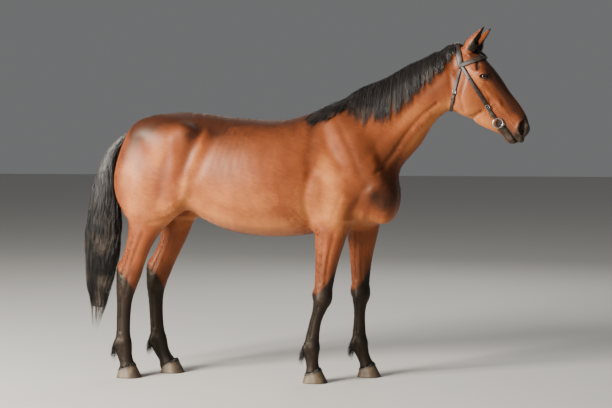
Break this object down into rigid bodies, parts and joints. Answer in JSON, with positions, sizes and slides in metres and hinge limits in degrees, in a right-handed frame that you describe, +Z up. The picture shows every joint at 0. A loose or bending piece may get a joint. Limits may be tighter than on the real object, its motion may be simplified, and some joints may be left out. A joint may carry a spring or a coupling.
{
  "type": "standing horse model",
  "caption": "Life-size still model of a bay riding horse standing square in a plain leather bridle with a loose-ring bit.",
  "frame": {"origin": "centre of the bounding box at floor level", "axes": "+X the way the horse faces, +Y to its left, +Z up"},
  "size_m": [2.6234, 0.588, 2.041],
  "materials": {
    "coat": "satin",
    "black_points": "satin",
    "long_hair": "satin",
    "hoof_horn": "satin",
    "eye": "polished",
    "leather": "satin",
    "steel": "polished"
  },
  "bodies": {
    "root": {"bit_mouthpiece": "steel", "bit_ring_left": "steel", "bit_ring_right": "steel", "browband": "leather", "cannon_front_left": "black_points", "cannon_front_right": "black_points", "cannon_hind_left": "black_points", "cannon_hind_right": "black_points", "cheekpiece_left": "leather", "cheekpiece_right": "leather", "crown_strap": "leather", "ear_left": "coat", "ear_right": "coat", "eye_left": "eye", "eye_right": "eye", "forearm_front_left": "coat", "forearm_front_right": "coat", "forelock": "long_hair", "gaskin_hind_left": "coat", "gaskin_hind_right": "coat", "head": "coat", "hoof_front_left": "hoof_horn", "hoof_front_right": "hoof_horn", "hoof_hind_left": "hoof_horn", "hoof_hind_right": "hoof_horn", "mane": "long_hair", "neck": "coat", "pastern_front_left": "black_points", "pastern_front_right": "black_points", "pastern_hind_left": "black_points", "pastern_hind_right": "black_points", "tail": "long_hair", "throatlatch": "leather", "trunk": "coat"}
  },
  "joints": []
}
